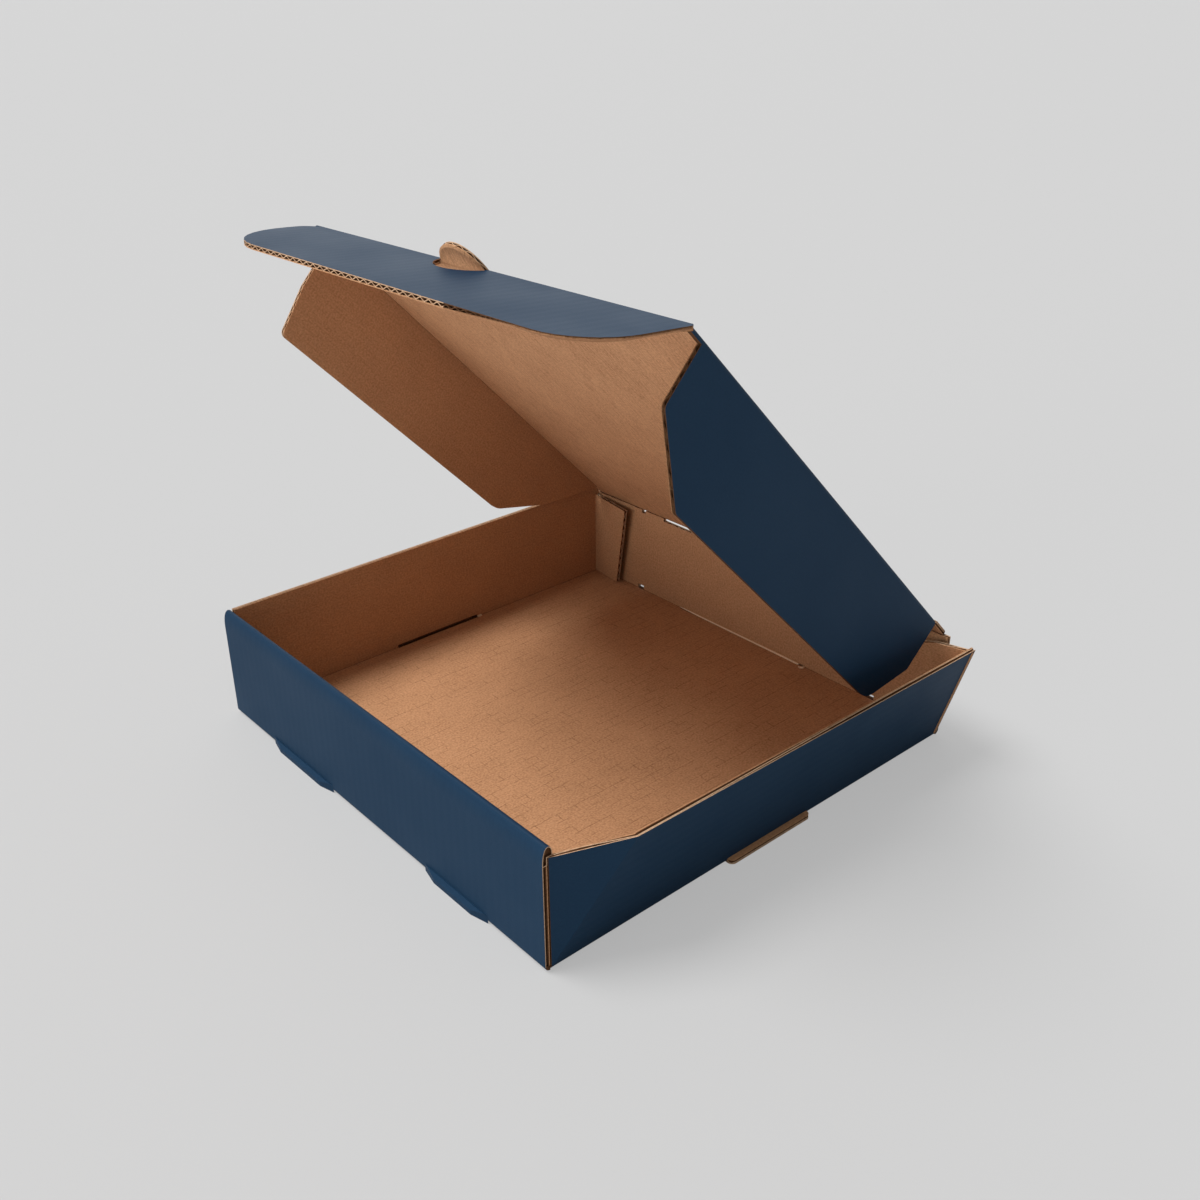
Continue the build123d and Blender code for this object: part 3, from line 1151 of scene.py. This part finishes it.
def paper_surface() -> bpy.types.NodeTree:
    """Builds the shared node group for paper: mottling, fibres and the ridges of the flutes.

    Returns:
        The group, which gives a colour, a roughness and a height.
    """
    group = bpy.data.node_groups.new("paper_surface", "ShaderNodeTree")
    face = group.interface
    for name in ("Colour", "Dark", "Pale"):
        face.new_socket(name, in_out="INPUT", socket_type="NodeSocketColor")
    for name in ("Mottle", "Ridges", "Streaks", "Roughness"):
        face.new_socket(name, in_out="INPUT", socket_type="NodeSocketFloat")
    face.new_socket("Colour", in_out="OUTPUT", socket_type="NodeSocketColor")
    face.new_socket("Roughness", in_out="OUTPUT", socket_type="NodeSocketFloat")
    face.new_socket("Height", in_out="OUTPUT", socket_type="NodeSocketFloat")
    nodes = group.nodes
    links = group.links
    entry = nodes.new("NodeGroupInput")
    leave = nodes.new("NodeGroupOutput")
    place = nodes.new("ShaderNodeTexCoord")
    flat = nodes.new("ShaderNodeUVMap")
    flat.uv_map = "board"

    def noise(scale: float, detail: float, source: bpy.types.NodeSocket) -> bpy.types.NodeSocket:
        """A noise pattern at a scale, as its factor socket."""
        node = nodes.new("ShaderNodeTexNoise")
        node.inputs["Scale"].default_value = scale
        node.inputs["Detail"].default_value = detail
        links.new(source, node.inputs["Vector"])
        return node.outputs["Fac"]

    def math_node(operation: str, first: bpy.types.NodeSocket, second: float | bpy.types.NodeSocket) -> bpy.types.NodeSocket:
        """One step of arithmetic on a socket, as its value socket."""
        node = nodes.new("ShaderNodeMath")
        node.operation = operation
        links.new(first, node.inputs[0])
        if isinstance(second, float):
            node.inputs[1].default_value = second
        else:
            links.new(second, node.inputs[1])
        return node.outputs["Value"]

    def mix(factor: bpy.types.NodeSocket, first: bpy.types.NodeSocket, second: bpy.types.NodeSocket) -> bpy.types.NodeSocket:
        """Mixes two colours by a factor, as the result socket."""
        node = nodes.new("ShaderNodeMix")
        node.data_type = "RGBA"
        links.new(factor, node.inputs["Factor"])
        links.new(first, node.inputs["A"])
        links.new(second, node.inputs["B"])
        return node.outputs["Result"]

    def ramp(source: bpy.types.NodeSocket, low: float, high: float) -> bpy.types.NodeSocket:
        """Stretches a value so that low gives 0 and high gives 1."""
        node = nodes.new("ShaderNodeMapRange")
        node.inputs["From Min"].default_value = low
        node.inputs["From Max"].default_value = high
        links.new(source, node.inputs["Value"])
        return node.outputs["Result"]

    def stretched(along: float) -> bpy.types.NodeSocket:
        """The board's own coordinates with the way along the flutes drawn out."""
        node = nodes.new("ShaderNodeMapping")
        node.inputs["Scale"].default_value = (1, along, 1)
        links.new(flat.outputs["UV"], node.inputs["Vector"])
        return node.outputs["Vector"]

    def wave(pitch: float, distortion: float, direction: str) -> bpy.types.NodeSocket:
        """Even lines of a pitch across the board, as their factor socket."""
        node = nodes.new("ShaderNodeTexWave")
        node.bands_direction = direction
        node.inputs["Scale"].default_value = math.pi / 10 / pitch
        node.inputs["Distortion"].default_value = distortion
        node.inputs["Detail"].default_value = 1
        node.inputs["Detail Scale"].default_value = 0.4
        links.new(flat.outputs["UV"], node.inputs["Vector"])
        return node.outputs["Fac"]

    def bricks(row: float, length: float, gap: float) -> bpy.types.NodeSocket:
        """Short creases along the flutes, set off from row to row, as their mask socket."""
        turn = nodes.new("ShaderNodeMapping")
        turn.inputs["Rotation"].default_value = (0, 0, math.pi / 2)
        sway = nodes.new("ShaderNodeVectorMath")
        sway.operation = "MULTIPLY_ADD"
        ripple = nodes.new("ShaderNodeTexNoise")
        ripple.inputs["Scale"].default_value = 90
        links.new(flat.outputs["UV"], ripple.inputs["Vector"])
        sway.inputs[1].default_value = (2 * MM, 6 * MM, 0)
        links.new(ripple.outputs["Color"], sway.inputs[0])
        links.new(flat.outputs["UV"], sway.inputs[2])
        links.new(sway.outputs["Vector"], turn.inputs["Vector"])
        node = nodes.new("ShaderNodeTexBrick")
        node.inputs["Scale"].default_value = 0.25 / row
        node.inputs["Row Height"].default_value = 0.25
        node.inputs["Brick Width"].default_value = 0.25 * length / row
        node.inputs["Mortar Size"].default_value = 0.25 * gap / row
        node.inputs["Mortar Smooth"].default_value = 0.6
        links.new(turn.outputs["Vector"], node.inputs["Vector"])
        return node.outputs["Fac"]

    cloud = ramp(noise(24, 3, place.outputs["Object"]), 0.3, 0.7)
    grain = noise(950, 5, stretched(0.8))
    streak = ramp(noise(1100, 2, stretched(0.07)), 0.42, 0.68)
    speck = ramp(noise(2400, 2, place.outputs["Object"]), 0.64, 0.8)
    fleck = ramp(noise(900, 3, stretched(0.35)), 0.6, 0.82)
    broken = ramp(noise(120, 3, stretched(0.5)), 0.44, 0.58)
    washboard = wave(BOARD.pitch, 0.4, "X")
    crease = math_node("MULTIPLY", bricks(BOARD.pitch, 14 * MM, 0.3 * MM), broken)
    crease = math_node("MULTIPLY", crease, entry.outputs["Ridges"])
    lines = math_node("ADD", crease, math_node("MULTIPLY", streak, entry.outputs["Streaks"]))
    rough_grain = math_node("MULTIPLY", ramp(grain, 0.38, 0.66), entry.outputs["Mottle"])
    shade = math_node("MULTIPLY", cloud, 0.14)
    shade = math_node("ADD", shade, math_node("MULTIPLY", rough_grain, 0.44))
    shade = math_node("ADD", shade, math_node("MULTIPLY", speck, 0.2))
    shade = math_node("ADD", shade, math_node("MULTIPLY", lines, 0.6))
    toned = mix(shade, entry.outputs["Colour"], entry.outputs["Dark"])
    pale = math_node("MULTIPLY", math_node("MULTIPLY", fleck, entry.outputs["Mottle"]), 0.35)
    toned = mix(pale, toned, entry.outputs["Pale"])
    links.new(toned, leave.inputs["Colour"])
    rough = math_node("ADD", entry.outputs["Roughness"], math_node("MULTIPLY", cloud, 0.06))
    links.new(rough, leave.inputs["Roughness"])
    swell = math_node("MULTIPLY", washboard, math_node("MULTIPLY", entry.outputs["Mottle"], 0.35))
    height = math_node("SUBTRACT", swell, math_node("MULTIPLY", lines, 0.5))
    height = math_node("ADD", height, math_node("MULTIPLY", grain, 0.3))
    links.new(height, leave.inputs["Height"])
    return group


BROWN = (0.56, 0.30, 0.155)
DARK_BROWN = (0.235, 0.11, 0.05)
PALE_BROWN = (0.70, 0.42, 0.24)
FINISHES = (
    Finish("printed", (0.0108, 0.0335, 0.068), (0.007, 0.022, 0.048), (0.022, 0.050, 0.09), 0.5, 0.5, 0.0, 0.05, 0.05),
    Finish("kraft", BROWN, DARK_BROWN, PALE_BROWN, 0.8, 1.0, 0.15, 0.15, 0.15),
    Finish("cut", (0.58, 0.38, 0.24), (0.22, 0.11, 0.05), (0.80, 0.62, 0.46), 0.85, 1.0, 0.0, 0.0, 0.15),
    Finish("flute", (0.16, 0.072, 0.03), (0.08, 0.035, 0.014), (0.30, 0.16, 0.08), 0.85, 0.8, 0.0, 0.0, 0.1),
    # Painted shade: dark finish for shadowed cut faces, gaps, hollows and the sheets closing the cuts.
    Finish("painted_shade", (0.11, 0.05, 0.022), (0.05, 0.022, 0.01), (0.42, 0.27, 0.17), 0.85, 1.0, 0.0, 0.0, 0.1),
    Finish("raw", (0.86, 0.66, 0.46), (0.55, 0.36, 0.22), (0.90, 0.76, 0.60), 0.85, 0.6, 0.0, 0.0, 0.1),
    Finish("creased", BROWN, DARK_BROWN, PALE_BROWN, 0.8, 1.0, 0.8, 0.25, 0.15),
    Finish("streaked", (0.66, 0.365, 0.195), (0.28, 0.13, 0.06), PALE_BROWN, 0.8, 1.0, 0.12, 0.6, 0.15),
    # Painted shade: a darker copy of kraft for the crushed rim in shade.
    Finish("shaded_rim", (0.40, 0.205, 0.10), (0.17, 0.075, 0.033), PALE_BROWN, 0.8, 1.0, 0.0, 0.3, 0.15),
)


@dataclass(frozen=True)
class Studio:
    """The pale floor, the soft lamps and the camera."""

    floor_size: float = 60.0
    floor_seen: float = 0.48
    floor_glow: float = 0.651
    glow_share: float = 0.6
    floor_bounce: float = 0.65
    sky_left: float = 0.66
    sky_right: float = 0.30
    camera_place: tuple[float, float, float] = (0.4972959, -0.4224773, 0.4178191)
    yaw: float = 0.8879756
    pitch: float = 0.4691668
    roll: float = -0.0253876
    focal_px: float = 1272.564
    centre_px: tuple[float, float] = (553.044, 594.052)
    frame_px: float = 1200.0
    sensor_mm: float = 36.0

    def build(self) -> None:
        """Sets up the floor, the lamps, the world and the camera."""
        self._floor()
        self._lamp("key", 3.0, 30, Vector((-0.42, -0.36, 1.0)))
        self._lamp("low", 1.2, 40, Vector((0.0, -1.0, 0.06)))
        self._lamp("rim", 0.7, 50, Vector((-0.84, 0.51, 0.25)))
        self._world()
        self._camera()

    def _floor(self) -> None:
        """A plain pale floor just below the box."""
        bpy.ops.mesh.primitive_plane_add(size=self.floor_size, location=(0, 0, -0.0002))
        floor = bpy.context.active_object
        floor.name = "studio_floor"
        material = bpy.data.materials.new("studio_floor")
        material.use_nodes = True
        shader = material.node_tree.nodes["Principled BSDF"]
        nodes = material.node_tree.nodes
        path = nodes.new("ShaderNodeLightPath")
        tone = nodes.new("ShaderNodeMix")
        tone.data_type = "RGBA"
        tone.inputs["A"].default_value = (self.floor_bounce,) * 3 + (1,)
        tone.inputs["B"].default_value = (self.floor_seen,) * 3 + (1,)
        material.node_tree.links.new(path.outputs["Is Camera Ray"], tone.inputs["Factor"])
        material.node_tree.links.new(tone.outputs["Result"], shader.inputs["Base Color"])
        shader.inputs["Roughness"].default_value = 0.9
        shader.inputs["Specular IOR Level"].default_value = 0.1
        glow = nodes.new("ShaderNodeEmission")
        glow.inputs["Color"].default_value = (self.floor_glow,) * 3 + (1,)
        share = nodes.new("ShaderNodeMath")
        share.operation = "MULTIPLY"
        share.inputs[1].default_value = self.glow_share
        blend = nodes.new("ShaderNodeMixShader")
        links = material.node_tree.links
        links.new(path.outputs["Is Camera Ray"], share.inputs[0])
        links.new(share.outputs["Value"], blend.inputs["Fac"])
        links.new(shader.outputs["BSDF"], blend.inputs[1])
        links.new(glow.outputs["Emission"], blend.inputs[2])
        links.new(blend.outputs["Shader"], nodes["Material Output"].inputs["Surface"])
        floor.data.materials.append(material)

    def _lamp(self, name: str, strength: float, softness: float, source: Vector) -> None:
        """A soft lamp that shines from the side that source points to."""
        lamp = bpy.data.lights.new(name, "SUN")
        lamp.energy = strength
        lamp.angle = math.radians(softness)
        holder = bpy.data.objects.new(name, lamp)
        holder.rotation_euler = source.to_track_quat("Z", "Y").to_euler()
        bpy.context.scene.collection.objects.link(holder)

    def _world(self) -> None:
        """Light from all round, stronger from the left than from the right."""
        world = bpy.data.worlds.new("studio")
        world.use_nodes = True
        back = world.node_tree.nodes["Background"]
        back.inputs["Color"].default_value = (1, 1, 1, 1)
        nodes = world.node_tree.nodes
        place = nodes.new("ShaderNodeTexCoord")
        parts = nodes.new("ShaderNodeSeparateXYZ")
        fade = nodes.new("ShaderNodeMapRange")
        fade.inputs["From Min"].default_value = -1
        fade.inputs["From Max"].default_value = 1
        fade.inputs["To Min"].default_value = self.sky_left
        fade.inputs["To Max"].default_value = self.sky_right
        links = world.node_tree.links
        links.new(place.outputs["Generated"], parts.inputs["Vector"])
        links.new(parts.outputs["X"], fade.inputs["Value"])
        links.new(fade.outputs["Result"], back.inputs["Strength"])
        seen = nodes.new("ShaderNodeBackground")
        seen.inputs["Color"].default_value = (1.0, 1.0, 1.0, 1.0)
        seen.inputs["Strength"].default_value = self.floor_glow
        path = nodes.new("ShaderNodeLightPath")
        blend = nodes.new("ShaderNodeMixShader")
        links.new(path.outputs["Is Camera Ray"], blend.inputs["Fac"])
        links.new(back.outputs["Background"], blend.inputs[1])
        links.new(seen.outputs["Background"], blend.inputs[2])
        links.new(blend.outputs["Shader"], nodes["World Output"].inputs["Surface"])
        bpy.context.scene.world = world

    def _camera(self) -> None:
        """The camera, at the photograph's place, turn and framing."""
        forwards = Vector(
            (
                -math.sin(self.yaw) * math.cos(self.pitch),
                math.cos(self.yaw) * math.cos(self.pitch),
                -math.sin(self.pitch),
            )
        )
        level = Vector((math.cos(self.yaw), math.sin(self.yaw), 0))
        above = level.cross(forwards)
        right = math.cos(self.roll) * level + math.sin(self.roll) * above
        top = -math.sin(self.roll) * level + math.cos(self.roll) * above
        lens = bpy.data.cameras.new("camera")
        lens.sensor_width = self.sensor_mm
        lens.lens = self.focal_px / self.frame_px * self.sensor_mm
        lens.shift_x = (self.frame_px / 2 - self.centre_px[0]) / self.frame_px
        lens.shift_y = (self.centre_px[1] - self.frame_px / 2) / self.frame_px
        lens.clip_end = 200
        holder = bpy.data.objects.new("camera", lens)
        turn = Matrix((right, top, -forwards)).transposed().to_4x4()
        holder.matrix_world = Matrix.Translation(self.camera_place) @ turn
        bpy.context.scene.collection.objects.link(holder)
        bpy.context.scene.camera = holder


def main() -> None:
    """Loads the frame, builds and dresses each piece, and sets up the studio."""
    logging.basicConfig(level=logging.INFO)
    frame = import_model()
    bpy.context.scene.view_settings.view_transform = "Standard"
    bpy.ops.object.select_all(action="DESELECT")
    paper_surface()
    for finish in FINISHES:
        finish.material()
    joints = {joint["name"]: joint for joint in frame["joints"]}
    hinge = Vector(joints["lid_hinge"]["pos_m"])
    lid = Lid(hinge)
    flap = FrontFlap(lid.fold_point, lid.opening, lid)
    for piece, body, slot in (
        (Tray().build(), "tray", "tray_board"),
        (lid.build(), "lid", "lid_board"),
        (flap.build(), "front_flap", "flap_board"),
    ):
        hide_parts(body)
        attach(piece, body)
        LOG.info("%s: %d faces", piece.name, len(piece.data.polygons))
    Studio().build()


if __name__ == "__main__":
    main()
